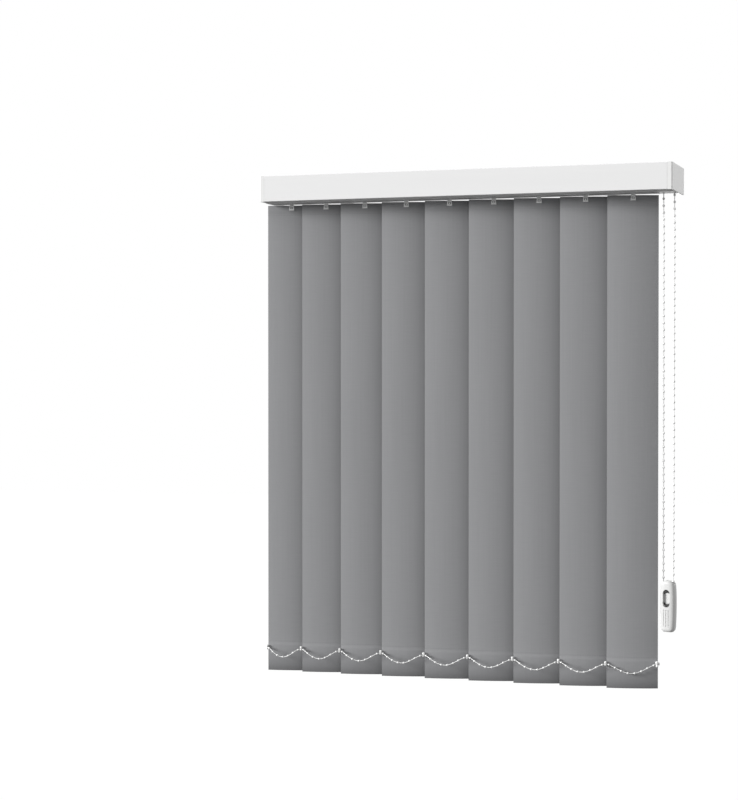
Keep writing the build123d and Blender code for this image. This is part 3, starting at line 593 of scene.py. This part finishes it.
def folded_line(sizes, foot, head):
    """Depth and height of the cloth from its flap at the foot, round the foot, up and over the head."""
    thick = sizes.thickness
    low = (sizes.foot_room + thick) / 2
    high = (sizes.head_room + thick) / 2
    foot_weld = foot + sizes.foot_hem - sizes.weld
    foot_open = foot_weld - sizes.ease
    foot_turn = foot + low + thick / 2
    head_weld = head - sizes.head_hem + sizes.weld
    head_turn = head - high - thick / 2
    hem, pocket = steps(HEM_STEPS), steps(POCKET_STEPS)[1:]
    fold, drop = half_turn(FOLD_STEPS)[1:], steps(DROP_STEPS)[1:]
    line = [(thick, foot + sizes.foot_hem), (thick, foot_weld)]
    line += [(eased(thick, low, s), foot_weld - s * sizes.ease) for s in hem[1:]]
    line += [(low, foot_turn + (foot_open - foot_turn) * (1 - s)) for s in pocket]
    line += [(low * math.cos(turn), foot_turn - low * math.sin(turn)) for turn in fold]
    line += [(-low, foot_turn + (foot_open - foot_turn) * s) for s in pocket]
    line += [(eased(-low, 0, s), foot_weld - sizes.ease * (1 - s)) for s in hem[1:]]
    line += [(0, foot_weld + (head_weld - foot_weld) * s) for s in drop]
    line += [(eased(0, -high, s), head_weld + s * sizes.ease) for s in hem[1:]]
    line += [(-high, head_turn)]
    line += [(-high * math.cos(turn), head_turn + high * math.sin(turn)) for turn in fold]
    line += [(eased(high, thick, s), head_weld + (1 - s) * sizes.ease) for s in hem]
    line += [(thick, head - sizes.head_hem)]
    return line


def strip_faces(rows, wide):
    """Corners of the faces of a strip whose rows hold one side's columns and then the other's."""
    faces = []
    for low, high in zip(rows, rows[1:]):
        for edge in (0, wide):
            for column in range(edge, edge + wide - 1):
                faces.append((low[column], low[column + 1], high[column + 1], high[column]))
        for column in (0, wide - 1):
            faces.append((low[column], low[column + wide], high[column + wide], high[column]))
    for row in (rows[0], rows[-1]):
        for column in range(wide - 1):
            faces.append((row[column], row[column + 1], row[column + 1 + wide], row[column + wide]))
    return faces


def vane_mesh(sizes, number, foot):
    """Closed mesh of one folded strip of cloth with its flat place as its map, and the strip's length."""
    place = vane_head(number)
    head = place.z + sizes.head_rise
    line = [Vector(point) for point in folded_line(sizes, foot, head)]
    reached = [0.0]
    for before, after in zip(line, line[1:]):
        reached.append(reached[-1] + (after - before).length)
    half = sizes.width / 2
    radius = (half * half + sizes.sagitta * sizes.sagitta) / (2 * sizes.sagitta)
    turn = Vector((math.cos(sizes.tilt), math.sin(sizes.tilt)))
    columns = [half * (2 * s - 1) for s in steps(VANE_COLUMNS)]
    ease = RIPPLE_EASE_HEMS * sizes.foot_hem
    shape = bmesh.new()
    flat = shape.loops.layers.uv.new(CLOTH_MAP)
    rows, flat_place = [], {}
    for index, point in enumerate(line):
        ahead = line[min(index + 1, len(line) - 1)] - line[max(index - 1, 0)]
        side = Vector((ahead.y, -ahead.x)).normalized() * (sizes.thickness / 2)
        hung = eased(0, 1, (point.y - foot) / ease) * eased(0, 1, (head - point.y) / ease)
        row = []
        for spot in (point - side, point + side):
            for along in columns:
                wave = noise.noise(Vector(
                    (along * RIPPLE_ACROSS, point.y * RIPPLE_DOWN, number * RIPPLE_PER_VANE)
                ))
                depth = spot.x + radius - math.sqrt(radius * radius - along * along)
                depth += sizes.ripple * hung * wave
                row.append(shape.verts.new((
                    place.x + along * turn.x - depth * turn.y,
                    place.y + along * turn.y + depth * turn.x,
                    spot.y,
                )))
                flat_place[row[-1]] = (along + half, reached[index])
        rows.append(row)
    for corners in strip_faces(rows, len(columns)):
        face = shape.faces.new(corners)
        face.smooth = True
        for loop in face.loops:
            loop[flat].uv = flat_place[loop.vert]
    mesh = closed_mesh(shape, "vane")
    mesh.set_sharp_from_angle(angle=VANE_SHARP)
    return mesh, reached[-1]


# Chain weight


def smooth_value(table, share):
    """Smooth value through a table of shares and values."""
    spots = [table[0], *table, table[-1]]
    index = 1
    while index < len(spots) - 3 and spots[index + 1][0] < share:
        index += 1
    (s0, v0), (s1, v1), (s2, v2), (s3, v3) = spots[index - 1:index + 3]
    part = (share - s1) / (s2 - s1)
    leave = (v2 - v0) / (s2 - s0) * (s2 - s1)
    arrive = (v3 - v1) / (s3 - s1) * (s2 - s1)
    square, cube = part * part, part * part * part
    return (
        (2 * cube - 3 * square + 1) * v1 + (cube - 2 * square + part) * leave
        + (3 * square - 2 * cube) * v2 + (cube - square) * arrive
    )


def weight_spot(sizes, pulley, beside, forward, drop):
    """Point of the turned casing: beside its middle, in front of it and below its top."""
    turn_x, turn_y = math.cos(sizes.turn), math.sin(sizes.turn)
    return (
        pulley.x + beside * turn_x + forward * turn_y,
        pulley.y + beside * turn_y - forward * turn_x,
        pulley.z + sizes.rise - drop,
    )


def weight_body(sizes, pulley):
    """Soft barrel-shaped body of the casing, without its openings."""
    shape = bmesh.new()
    rings = []
    for angle in half_turn(WEIGHT_RINGS):
        share = (1 - math.cos(angle)) / 2
        drop = share * sizes.height
        near = 1 - min(min(drop, sizes.height - drop) / sizes.edge, 1)
        wide = sizes.width / 2 * smooth_value(WEIGHT_OUTLINE_SHARES, share)
        thick = sizes.thickness / 2 * math.sqrt(1 - WEIGHT_END_ROUND_SHARE * near * near)
        ring = []
        for turn in turns(WEIGHT_CORNERS):
            across, ahead = math.cos(turn), math.sin(turn)
            beside = math.copysign(wide * abs(across) ** WEIGHT_ROUND_POWER, across)
            forward = math.copysign(thick * abs(ahead) ** WEIGHT_ROUND_POWER, ahead)
            ring.append(shape.verts.new(weight_spot(sizes, pulley, beside, forward, drop)))
        rings.append(ring)
    skin(shape, rings)
    return closed_mesh(shape, "weight_body")


def weight_openings(sizes):
    """Outlines of the window, the room and the grip grooves, with their depths."""
    wide, high = (part / 2 for part in sizes.window)
    window = []
    for side in (1, -1):
        for angle in half_turn(WINDOW_STEPS):
            lift = high - wide + wide * math.sin(angle)
            window.append((side * wide * math.cos(angle), sizes.rise - side * lift))
    half, deep = sizes.room[0] / 2, sizes.room[2] / 2
    room = rectangle(-half, half, -sizes.edge, sizes.room[1])
    blocks = [(window, 0, sizes.thickness), (room, -deep, deep)]
    foot = sizes.height - sizes.rib_rise
    for place in (-1, 0, 1):
        left = place * sizes.rib_pitch - sizes.rib[0] / 2
        groove = rectangle(left, left + sizes.rib[0], foot - sizes.rib[1], foot)
        blocks.append((groove, sizes.thickness / 2 - sizes.rib[2], sizes.thickness))
    return blocks


def weight_pin(sizes):
    """Outline of the pin that carries the pulley, with its depths."""
    circle = [
        (sizes.pin * math.cos(turn), sizes.rise + sizes.pin * math.sin(turn)) for turn in turns(PIN_CORNERS)
    ]
    return [(circle, -sizes.room[2] / 2 - sizes.pin, sizes.pin_reach)]


def weight_blocks(sizes, pulley, blocks):
    """Mesh of closed blocks on outlines in the plane of the casing."""
    shape = bmesh.new()
    for outline, *depths in blocks:
        skin(shape, [
            [shape.verts.new(weight_spot(sizes, pulley, beside, depth, drop)) for beside, drop in outline]
            for depth in depths
        ])
    return closed_mesh(shape, "weight_blocks")


def carved_mesh(body, **tools):
    """Mesh of a body after boolean operations, each named with its mesh."""
    items = [new_object("carved", body)]
    for operation, mesh in tools.items():
        items.append(new_object("tool", mesh))
        modifier = items[0].modifiers.new(operation, "BOOLEAN")
        modifier.operation = operation.upper()
        modifier.solver = "EXACT"
        modifier.use_self = True
        modifier.object = items[-1]
    result = evaluated_mesh(items[0])
    for item in items:
        bpy.data.objects.remove(item)
    for mesh in (body, *tools.values()):
        bpy.data.meshes.remove(mesh)
    shape = bmesh.new()
    shape.from_mesh(result)
    bmesh.ops.remove_doubles(shape, verts=shape.verts, dist=SEAM)
    bmesh.ops.dissolve_degenerate(shape, dist=SEAM, edges=shape.edges)
    bmesh.ops.triangulate(shape, faces=shape.faces)
    shape.to_mesh(result)
    shape.free()
    result.shade_smooth()
    result.set_sharp_from_angle(angle=WEIGHT_SHARP)
    return result


# Bead chains


def bead_chain_tree():
    """Node tree that strings beads along a line of edges, one in the middle of each equal stretch."""
    tree = bpy.data.node_groups.new(BEAD_TREE, "GeometryNodeTree")
    for label, kind in (
        ("Geometry", "NodeSocketGeometry"),
        ("Beads", "NodeSocketInt"),
        ("Bead Diameter", "NodeSocketFloat"),
        ("String Diameter", "NodeSocketFloat"),
        ("Material", "NodeSocketMaterial"),
    ):
        tree.interface.new_socket(label, in_out="INPUT", socket_type=kind)
    tree.interface.new_socket("Geometry", in_out="OUTPUT", socket_type="NodeSocketGeometry")
    board = NodeBoard(tree)
    given = board.add("NodeGroupInput").outputs
    route = board.add("GeometryNodeMeshToCurve", Mesh=given["Geometry"]).outputs["Curve"]

    def marks(per_bead):
        """Even points along the route, so many to a bead and one at the end."""
        count = board.maths("ADD", board.maths("MULTIPLY", given["Beads"], per_bead), 1)
        node = board.add("GeometryNodeResampleCurve", Curve=route, Count=count)
        node.mode = "COUNT"
        return node.outputs["Curve"]

    def radius(label):
        """Half of a given diameter."""
        return board.maths("MULTIPLY", given[label], 0.5)

    ball = board.add(
        "GeometryNodeMeshUVSphere", Segments=BEAD_SEGMENTS, Rings=BEAD_RINGS, Radius=radius("Bead Diameter")
    )
    long_ball = board.add("GeometryNodeTransform", Geometry=ball.outputs["Mesh"], Scale=BEAD_STRETCH_SHARES)
    tangent = board.add("GeometryNodeInputTangent").outputs["Tangent"]
    heading = board.add("FunctionNodeAlignRotationToVector", Vector=tangent)
    heading.axis = "Z"
    index = board.add("GeometryNodeInputIndex").outputs["Index"]
    beads = board.add(
        "GeometryNodeInstanceOnPoints", Points=marks(2), Selection=board.maths("MODULO", index, 2),
        Instance=long_ball.outputs["Geometry"], Rotation=heading.outputs["Rotation"],
    )
    ring = board.add(
        "GeometryNodeCurvePrimitiveCircle", Resolution=STRING_CORNERS, Radius=radius("String Diameter")
    )
    string = board.add(
        "GeometryNodeCurveToMesh", Curve=marks(STRING_POINTS_PER_BEAD), Profile_Curve=ring.outputs["Curve"],
        Fill_Caps=True,
    )
    both = board.add("GeometryNodeJoinGeometry", Geometry=beads.outputs["Instances"])
    board.feed(both, Geometry=string.outputs["Mesh"])
    real = board.add("GeometryNodeRealizeInstances", Geometry=both.outputs["Geometry"])
    smooth = board.add("GeometryNodeSetShadeSmooth", Geometry=real.outputs["Geometry"])
    finish = board.add(
        "GeometryNodeSetMaterial", Geometry=smooth.outputs["Geometry"], Material=given["Material"]
    )
    board.add("NodeGroupOutput", Geometry=finish.outputs["Geometry"])
    return tree


def route_line(points):
    """Mesh of edges along the smooth spline that has the points as its control points, and its path."""
    curve = bpy.data.curves.new("route", "CURVE")
    curve.dimensions = "3D"
    curve.resolution_u = ROUTE_STEPS
    spline = curve.splines.new("NURBS")
    spline.points.add(len(points) - 1)
    for spot, point in zip(spline.points, points):
        spot.co = (*point, 1)
    spline.order_u = 3
    spline.use_endpoint_u = True
    holder = new_object("route", curve)
    line = bpy.data.meshes.new_from_object(holder)
    bpy.data.objects.remove(holder)
    bpy.data.curves.remove(curve)
    return line, [tuple(spot.co) for spot in line.vertices]


def path_length(path):
    """Length of a line of points."""
    return sum((Vector(after) - Vector(before)).length for before, after in zip(path, path[1:]))


def bead_chain(line, beads, bead, string, material):
    """Mesh of a bead chain along a line of edges, which is used up."""
    tree = bpy.data.node_groups.get(BEAD_TREE) or bead_chain_tree()
    values = {"Beads": beads, "Bead Diameter": bead, "String Diameter": string, "Material": material}
    holder = new_object("route", line)
    modifier = holder.modifiers.new("beads", "NODES")
    modifier.node_group = tree
    for item in tree.interface.items_tree:
        if item.name in values:
            modifier[item.identifier] = values[item.name]
    result = evaluated_mesh(holder)
    bpy.data.objects.remove(holder)
    bpy.data.meshes.remove(line)
    return result


def half_turn_points(centre, outward, upward, radius, first):
    """Control points of half a turn from an angle, with one before and one after it on the strands."""
    step = math.pi / TURN_CORNERS

    def spot(angle, reach, lead=0):
        """Point at a distance from the centre, led on along the turn."""
        ray = outward * math.cos(angle) + upward * math.sin(angle)
        tangent = upward * math.cos(angle) - outward * math.sin(angle)
        return centre + ray * reach + tangent * lead

    lead = radius * math.tan(step / 2)
    corner = radius / math.cos(step / 2)
    corners = [spot(first + step / 2 + index * step, corner) for index in range(TURN_CORNERS)]
    return [spot(first, radius, -lead), *corners, spot(first + math.pi, radius, lead)]


def control_route(sizes):
    """Control points of the chain's loop, from the foot of its right strand round and back to it."""
    up = Vector((0, 0, 1))
    wheel, pulley = joint_place("wheel_turn"), joint_place("pulley_turn")
    beside = Vector(joint("pulley_turn")["axis"]).cross(up)
    over = half_turn_points(wheel, Vector((1, 0, 0)), up, sizes.wheel_radius, 0)
    under = half_turn_points(pulley, beside, up, sizes.wheel_radius, math.pi)
    start, end = pulley + beside * sizes.wheel_radius, under[0]
    near = STRAND_LEAD_BEADS * sizes.bead
    rise = (over[0] - start).normalized()
    fall = (end - over[-1]).normalized()
    right = [start, start + rise * near, (start + over[0]) / 2, over[0] - rise * near]
    left = [over[-1] + fall * near, (over[-1] + end) / 2, end - fall * near]
    return right + over + left + under[:-1] + [start]


def foot_route(sizes, vanes, number):
    """Control points of a foot chain, with the places of its first and last clip."""
    reach = joint_place("span_turn_1") - vane_head(1)
    start = vane_head(number) + reach
    shares = steps(SPAN_STEPS)
    if number < VANES:
        finish = vane_head(number + 1) + reach
        front = Vector((0, -1, 0))
        stands = [sizes.link_stand * eased(0, 1, share / STAND_EASE_SHARE) for share in shares[:-1]]
        stands.append(sizes.clip_radius)
    else:
        along = Vector((math.cos(vanes.tilt), math.sin(vanes.tilt), 0))
        front = Vector((along.y, -along.x, 0))
        finish = start + along * (vanes.width + 2 * sizes.clip_reach - sizes.end_clip_inset)
        finish += front * sizes.end_clip_stand
        bow = vanes.sagitta + sizes.link_bead / 2
        stands = [4 * share * (1 - share) * bow for share in shares]
    points = []
    for share, stand in zip(shares, stands):
        hang = Vector((0, 0, sizes.link_sag * math.sin(math.pi * share) ** sizes.link_ease))
        points.append(start + (finish - start) * share + front * stand - hang)
    return points, start, finish


def clip_mesh(sizes, place, scale=1):
    """Closed round mesh of a clip about an upright line through its place."""
    shape = bmesh.new()
    rings = []
    for wide, high in CLIP_OUTLINE_SHARES:
        radius, height = wide * sizes.clip_radius * scale, high * sizes.clip_height / 2 * scale
        rings.append([
            shape.verts.new((
                place.x + radius * math.cos(turn), place.y + radius * math.sin(turn), place.z + height
            ))
            for turn in turns(CLIP_CORNERS)
        ])
    skin(shape, rings)
    return closed_mesh(shape, "clip")


# Operators


class BLIND_OT_hardware(bpy.types.Operator):
    """Gives the valance, rail, carriers and other rigid pieces their finishes"""

    bl_idname = "blind.hardware"
    bl_label = "Finish the hardware"

    def execute(self, context):
        colours = context.scene.blind_finish
        finishes = {
            "valance_white": coat(
                "satin_valance_coat", colours.valance, roughness=0.42, stretch=DRAWN_COAT_STRETCH,
                scale=500.0, relief=0.015, gloss=0.08,
            ),
            "rail_white": coat(
                "rail_coat", colours.rail, roughness=0.44, stretch=DRAWN_COAT_STRETCH, scale=600.0
            ),
            "moulded_white": coat(
                "white_moulding", colours.moulding, roughness=0.36, relief=0.03, gloss=0.1
            ),
            "bracket_steel": coat("bracket_coat", colours.bracket, roughness=0.5, relief=0.05),
            "carrier_plastic": coat("carrier_moulding", colours.carrier, roughness=0.5, relief=0.04),
            "plate_steel": coat("plate_coat", colours.plate, roughness=0.45, relief=0.04),
            "rod_aluminium": drawn_metal("drawn_aluminium", colours.rod, roughness=0.34),
            "hook_plastic": clear_moulding("clear_hook_moulding", colours.hook),
        }
        weight = coat("weight_moulding", colours.weight, roughness=0.34, relief=0.03, gloss=0.1)
        for piece in frame["record"]["subparts"]:
            finish = finishes.get(piece["material_slot"])
            if piece["node"] in ("chain_weight", "weight_pulley"):
                finish = weight
            if finish:
                node = frame["nodes"][piece["node"]]
                node.data.materials.clear()
                node.data.materials.append(finish)
        return {"FINISHED"}


class BLIND_OT_vanes(bpy.types.Operator):
    """Makes the cloth vanes with their pockets at head and foot"""

    bl_idname = "blind.vanes"
    bl_label = "Hang the vanes"

    def execute(self, context):
        sizes = context.scene.blind_vanes
        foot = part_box("vane_1")[0].z
        material = None
        for number in range(1, VANES + 1):
            mesh, cut = vane_mesh(sizes, number, foot)
            if material is None:
                welds = (2 * sizes.foot_hem - sizes.weld / 2, cut - 2 * sizes.head_hem + sizes.weld / 2)
                material = vane_cloth("grey_vane_cloth", sizes, welds)
            vane = new_piece(f"vane_cloth_{number}", mesh, material, f"vane_unit_{number}")
            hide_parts(f"vane_{number}")
        return {"FINISHED"}


class BLIND_OT_chain_weight(bpy.types.Operator):
    """Makes the casing that weighs down the control chain"""

    bl_idname = "blind.chain_weight"
    bl_label = "Make the chain weight"

    def execute(self, context):
        sizes = context.scene.blind_weight
        pulley = joint_place("pulley_turn")
        mesh = carved_mesh(
            weight_body(sizes, pulley),
            difference=weight_blocks(sizes, pulley, weight_openings(sizes)),
            union=weight_blocks(sizes, pulley, weight_pin(sizes)),
        )
        material = bpy.data.materials["weight_moulding"]
        casing = new_piece("chain_weight_casing", mesh, material, "rail_unit")
        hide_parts("chain_weight")
        return {"FINISHED"}


class BLIND_OT_control_chain(bpy.types.Operator):
    """Strings the control chain over its wheel and under the pulley of its weight"""

    bl_idname = "blind.control_chain"
    bl_label = "String the control chain"

    def execute(self, context):
        sizes = context.scene.blind_chains
        material = coat("white_chain_beads", sizes.colour, roughness=0.26, relief=0.01, gloss=0.25)
        line, path = route_line(control_route(sizes))
        beads = round(path_length(path) / sizes.pitch)
        mesh = bead_chain(line, beads, sizes.bead, sizes.string, material)
        chain = new_piece("control_bead_chain", mesh, material, "rail_unit")
        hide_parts("control_chain")
        return {"FINISHED"}


class BLIND_OT_foot_chains(bpy.types.Operator):
    """Hangs the small chains from vane to vane along the foot, with their clips"""

    bl_idname = "blind.foot_chains"
    bl_label = "Hang the foot chains"

    def execute(self, context):
        sizes = context.scene.blind_chains
        material = coat("white_foot_beads", sizes.colour, roughness=0.28, relief=0.01, gloss=0.2)
        for number in range(1, VANES + 1):
            last = number == VANES
            body = f"vane_unit_{number}" if last else f"chain_span_{number}"
            points, start, finish = foot_route(sizes, context.scene.blind_vanes, number)
            line, path = route_line(points)
            beads = round(path_length(points) / sizes.pitch)
            mesh = bead_chain(line, beads, sizes.link_bead, sizes.link_string, material)
            chain = new_piece(f"foot_bead_chain_{number}", mesh, material, body)
            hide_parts(f"bottom_chain_{number}")
            clip = clip_mesh(sizes, start)
            clips = [new_piece(f"foot_clip_{number}", clip, material, body)]
            if last:
                clip = clip_mesh(sizes, finish, sizes.end_clip_scale)
                clips.append(new_piece("foot_end_clip", clip, material, body))
            if not last:
                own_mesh(chain)
        return {"FINISHED"}


class BLIND_OT_stage(bpy.types.Operator):
    """Sets the camera, the floor and a plain studio light"""

    bl_idname = "blind.stage"
    bl_label = "Set the stage"

    def execute(self, context):
        scene, sizes = context.scene, context.scene.blind_stage
        lens = bpy.data.cameras.new("view")
        lens.sensor_fit = "VERTICAL"
        lens.sensor_height = SENSOR_HEIGHT_MM
        lens.lens = sizes.lens
        camera = new_object("view", lens)
        camera.location = sizes.eye
        camera.rotation_euler = (math.pi / 2 + sizes.pitch, 0, sizes.yaw)
        scene.camera = camera

        mesh = bpy.data.meshes.new("floor")
        half, level = sizes.floor_half, cad_box[0].z - sizes.floor_drop
        corners = [(x, y, level) for x, y in rectangle(-half, half, -half, half)]
        mesh.from_pydata(corners, [], [(0, 1, 2, 3)])
        mesh.materials.append(pale_floor("pale_floor"))
        floor = new_object("floor", mesh)

        for name, kind, power, place, measure, size in (
            ("key", "SUN", sizes.key, sizes.key_place, "angle", sizes.key_spread),
            ("fill", "AREA", sizes.fill, sizes.fill_place, "size", sizes.fill_size),
        ):
            lamp = bpy.data.lights.new(name, kind)
            lamp.energy = power
            setattr(lamp, measure, size)
            holder = new_object(name, lamp)
            holder.location = place
            aim = Vector(sizes.aim) - Vector(place)
            holder.rotation_euler = aim.to_track_quat("-Z", "Y").to_euler()

        world = bpy.data.worlds.new("studio")
        world.use_nodes = True
        board = NodeBoard(world.node_tree)
        strength = spread(board, seen_rays(board)[1], sizes.world, 1.0)
        board.feed(board.nodes["Background"], Color=grey(1), Strength=strength)
        scene.world = world
        scene.view_settings.view_transform = "Standard"
        return {"FINISHED"}


class BLIND_PT_panel(bpy.types.Panel):
    """Lists the pieces of the blind and their sizes"""

    bl_label = "Vertical blind"
    bl_idname = "BLIND_PT_panel"
    bl_space_type = "VIEW_3D"
    bl_region_type = "UI"
    bl_category = "Blind"

    def draw(self, context):
        for operator in OPERATORS:
            self.layout.operator(operator.bl_idname)
        for group in SETTINGS:
            settings = getattr(context.scene, group)
            column = self.layout.column(heading=group)
            for name in settings.bl_rna.properties.keys():
                if name not in ("rna_type", "name"):
                    column.prop(settings, name)


OPERATORS = (
    BLIND_OT_stage,
    BLIND_OT_hardware,
    BLIND_OT_chain_weight,
    BLIND_OT_control_chain,
    BLIND_OT_foot_chains,
    BLIND_OT_vanes,
)
SETTINGS = {
    "blind_vanes": BlindVaneSettings,
    "blind_chains": BlindChainSettings,
    "blind_weight": BlindWeightSettings,
    "blind_finish": BlindFinishSettings,
    "blind_stage": BlindStageSettings,
}


def register():
    """Registers the settings, the operators and the panel."""
    for name, group in SETTINGS.items():
        bpy.utils.register_class(group)
        setattr(bpy.types.Scene, name, bpy.props.PointerProperty(type=group))
    for item in (*OPERATORS, BLIND_PT_panel):
        bpy.utils.register_class(item)


def unregister():
    """Takes them all off again."""
    for item in (BLIND_PT_panel, *reversed(OPERATORS)):
        bpy.utils.unregister_class(item)
    for name, group in reversed(SETTINGS.items()):
        delattr(bpy.types.Scene, name)
        bpy.utils.unregister_class(group)


def main():
    """Makes all the pieces in order."""
    register()
    bpy.ops.blind.stage()
    bpy.ops.blind.hardware()
    bpy.ops.blind.chain_weight()
    bpy.ops.blind.control_chain()
    bpy.ops.blind.foot_chains()
    bpy.ops.blind.vanes()


if __name__ == "__main__":
    main()
